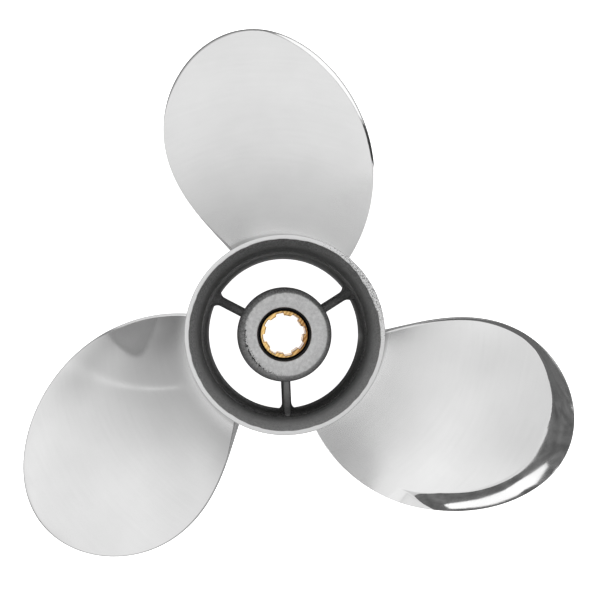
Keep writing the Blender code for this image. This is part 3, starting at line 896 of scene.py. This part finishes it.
# Stage: a light table that fades into a pale floor, soft surroundings, and the camera
table = {"reach": 0.3, "fade": 0.1, "glow": 1.15, "pale": "#D2D2D2", "size": 6, "below": 0.1 * mm}
dome = {
    "ceiling": 1.1,
    "horizon": 0.55,
    "rise": (-0.1, 0.72),         # the upward parts of a direction between which it gets brighter
    "least": 0.06,
    # azimuth, angle from straight up, spread in degrees, change in brightness
    "lobes": [(66, 82, 22, -0.41), (256, 88, 34, 0.28), (185, 80, 24, -0.13), (235, 42, 13, -0.3),
              (203, 60, 12, 0.18), (88, 61, 14, -0.2), (106, 70, 14, -0.13), (135, 72, 9, 0.14),
              (83, 42, 6, 0.07), (80, 52, 5, -0.09), (68, 58, 6, -0.27), (67, 73, 4, -0.08),
              (75, 50, 5, -0.2), (83, 76, 6, -0.04), (231, 38, 7, 0.2), (77, 73, 5, -0.04),
              (117, 57, 8, 0.05), (224, 62, 7, 0.08), (194, 72, 12, -0.14), (222, 43, 6, -0.1),
              (247, 59, 9, -0.17), (318, 54, 8, -0.05), (342, 52, 24, -0.055)],
    # a faint bright seam between two backdrops: three directions on it, one on its shaded side, its half
    # width in degrees, the change on it and beside it, how fast that sets in, and how far it reaches
    "seam": {"through": [(71, 49), (96, 68), (108, 88)], "shaded": (74, 78), "half": 0.4, "bright": 0.27,
             "shade": -0.03, "fade": 0.04, "middle": (85, 70), "reach": (26, 42)},
}
# cards that the camera doesn't see, most standing beyond the picture's edges: the plane each stands in,
# its brightness, how uneven that is, and its outline in mm; they give the blades' bevels their mirror
# images, and the one under the barrel is painted shade
cards = {
    "dark_card_below": {
        "plane": ("y", -115),
        "glow": 0.15,
        "uneven": 0.12,
        "cloudSize": 14 * mm,
        "cloudSpan": (0.35, 0.7),
        "outline": [(18, 18), (18, 45), (26, 60), (29, 76), (50, 82), (60, 91), (70, 101), (76, 113),
                    (80, 130), (79, 175), (74, 200), (-50, 215), (-50, 600), (155, 600), (155, 215),
                    (130, 195), (130, 18)],
    },
    "bright_strip_below": {
        "plane": ("y", -114),
        "glow": 1.42,
        "outline": [(41, 47), (45, 51), (62, 63), (76, 78), (86, 96), (100, 118), (104, 108), (101, 80),
                    (92, 66), (78, 56), (65, 49), (49, 44)],
    },
    "bright_card_right": {
        "plane": ("x", 140),
        "glow": 1.42,
        "outline": [(94, 0), (94, 12), (108, 30), (120, 40), (160, 60), (290, 80), (290, 0)],
    },
    # painted shade: a dark sheet under the barrel stands for the shade on the floor inside it, so the bore
    # mirrors dark
    "shade_card_under": {
        "plane": ("z", -0.05),
        "glow": 0.03,
        "outline": [(radius * math.cos(math.radians(turn)), radius * math.sin(math.radians(turn)))
                    for radius, turns in ((33, range(0, 360, 5)), (11, range(355, -1, -5)))
                    for turn in turns],
    },
    "dark_card_right": {
        "plane": ("x", 85),
        "glow": 0.05,
        "outline": [(60, 5), (60, 46), (84, 46), (84, 5)],
    },
}
cardColour = "#101010"
camera = {"place": (-0.0044, 0.0041, 0.792), "lens": 114.1, "sensor": 36, "shift": (0.0452, 0.0396)}


def flatObject(name, corners, material):
    mesh = bpy.data.meshes.new(name)
    mesh.from_pydata(corners, [], [tuple(range(len(corners)))])
    mesh.materials.append(material)
    flat = bpy.data.objects.new(name, mesh)
    bpy.context.scene.collection.objects.link(flat)
    return flat


def makeFloor():
    material, tree = newMaterial("light_table")
    place = addNode(tree, "TexCoord")
    away = addNode(tree, "VectorMath", {"operation": "LENGTH", 0: place.outputs["Object"]})
    glow = addNode(tree, "MapRange", {
        "interpolation_type": "SMOOTHSTEP", "From Min": table["reach"],
        "From Max": table["reach"] + table["fade"], "To Min": table["glow"], "To Max": 0, "Value": away})
    finishMaterial(tree, {"Base Color": linearColour(table["pale"]), "Roughness": 0.8,
                          "Emission Color": (1, 1, 1, 1), "Emission Strength": glow})
    half = table["size"] / 2
    floor = flatObject("floor", [(-half, -half, 0), (half, -half, 0), (half, half, 0), (-half, half, 0)],
                       material)
    floor.location.z = -table["below"]
    floor.visible_diffuse = False     # it lights no dull surface from below, so the passages stay dark


def makeCards():
    for name, c in cards.items():
        axis, offset = c["plane"]
        material, tree = newMaterial(name)
        glow = c["glow"]
        if "uneven" in c:
            place = addNode(tree, "TexCoord")
            clouds = addNode(tree, "TexNoise", {
                "Scale": 1 / c["cloudSize"], "Detail": 6, "Roughness": 0.7,
                "Vector": place.outputs["Object"]})
            glow = addNode(tree, "MapRange", {
                "From Min": c["cloudSpan"][0], "From Max": c["cloudSpan"][1],
                "To Min": c["glow"] - c["uneven"] / 2, "To Max": c["glow"] + c["uneven"],
                "Value": clouds})
        finishMaterial(tree, {"Base Color": linearColour(cardColour), "Roughness": 1,
                              "Specular IOR Level": 0, "Emission Color": (1, 1, 1, 1),
                              "Emission Strength": glow})
        corners = np.insert(np.array(c["outline"], dtype=float), "xyz".index(axis), offset, axis=1) * mm
        card = flatObject(name, corners.tolist(), material)
        card.visible_camera = card.visible_shadow = card.visible_diffuse = False


def skyDirection(azimuth, fromUp):
    # a unit vector from an azimuth and an angle from straight up, both in degrees
    a, u = math.radians(azimuth), math.radians(fromUp)
    return (math.sin(u) * math.cos(a), math.sin(u) * math.sin(a), math.cos(u))


def makeDome():
    # brightness falls from ceiling to horizon, and each lobe adds its change times
    # exp((cos(angle from it) - 1) / (1 - cos(spread)))
    world = bpy.data.worlds.new("soft_studio")
    bpy.context.scene.world = world
    world.use_nodes = True
    tree = world.node_tree
    tree.nodes.clear()
    way = addNode(tree, "TexCoord").outputs["Generated"]
    parts = addNode(tree, "SeparateXYZ", {"Vector": way})
    total = addNode(tree, "MapRange", {
        "interpolation_type": "SMOOTHSTEP", "From Min": dome["rise"][0], "From Max": dome["rise"][1],
        "To Min": dome["horizon"], "To Max": dome["ceiling"], "Value": parts.outputs["Z"]})
    for azimuth, fromUp, spread, change in dome["lobes"]:
        facing = addNode(tree, "VectorMath", {
            "operation": "DOT_PRODUCT", 0: way, 1: skyDirection(azimuth, fromUp)})
        off = addNode(tree, "Math", {"operation": "SUBTRACT", 0: facing, 1: 1})
        scaled = addNode(tree, "Math", {
            "operation": "DIVIDE", 0: off, 1: 1 - math.cos(math.radians(spread))})
        lobe = addNode(tree, "Math", {"operation": "EXPONENT", 0: scaled})
        total = addNode(tree, "Math", {"operation": "MULTIPLY_ADD", 0: lobe, 1: change, 2: total})

    # the seam is the small circle where the plane through its three directions cuts the sky
    seam = dome["seam"]
    first, second, third = (np.array(skyDirection(*point)) for point in seam["through"])
    square = np.cross(second - first, third - first)
    square *= np.sign(square @ (skyDirection(*seam["shaded"]) - first)) / np.linalg.norm(square)
    along = addNode(tree, "VectorMath", {"operation": "DOT_PRODUCT", 0: way, 1: square.tolist()})
    off = addNode(tree, "Math", {"operation": "SUBTRACT", 0: along, 1: float(square @ first)})
    apart = addNode(tree, "Math", {"operation": "ABSOLUTE", 0: off})
    middle = addNode(tree, "VectorMath", {
        "operation": "DOT_PRODUCT", 0: way, 1: skyDirection(*seam["middle"])})
    inner, outer = (math.cos(math.radians(angle)) for angle in seam["reach"])
    line, shade, near = (
        addNode(tree, "MapRange", {
            "interpolation_type": "SMOOTHSTEP", "From Min": low, "From Max": high, "To Min": start,
            "To Max": end, "Value": value})
        for value, low, high, start, end in (
            (apart, 0, 2 * math.sin(math.radians(seam["half"])), seam["bright"], 0),
            (off, 0, seam["fade"], 0, seam["shade"]),
            (middle, outer, inner, 0, 1)))
    both = addNode(tree, "Math", {"operation": "ADD", 0: line, 1: shade})
    total = addNode(tree, "Math", {"operation": "MULTIPLY_ADD", 0: both, 1: near, 2: total})
    lit = addNode(tree, "Math", {"operation": "MAXIMUM", 0: total, 1: dome["least"]})
    background = addNode(tree, "Background", {"Color": (1, 1, 1, 1), "Strength": lit})
    addNode(tree, "OutputWorld", {"Surface": background})


def makeCamera():
    data = bpy.data.cameras.new("camera")
    data.lens, data.sensor_width = camera["lens"], camera["sensor"]
    data.shift_x, data.shift_y = camera["shift"]
    eye = bpy.data.objects.new("camera", data)
    eye.location = camera["place"]
    bpy.context.scene.collection.objects.link(eye)
    bpy.context.scene.camera = eye


makeFloor()
makeCards()
makeDome()
makeCamera()
bpy.context.scene.view_settings.view_transform = "Standard"
print("stage: floor, surroundings and camera made")
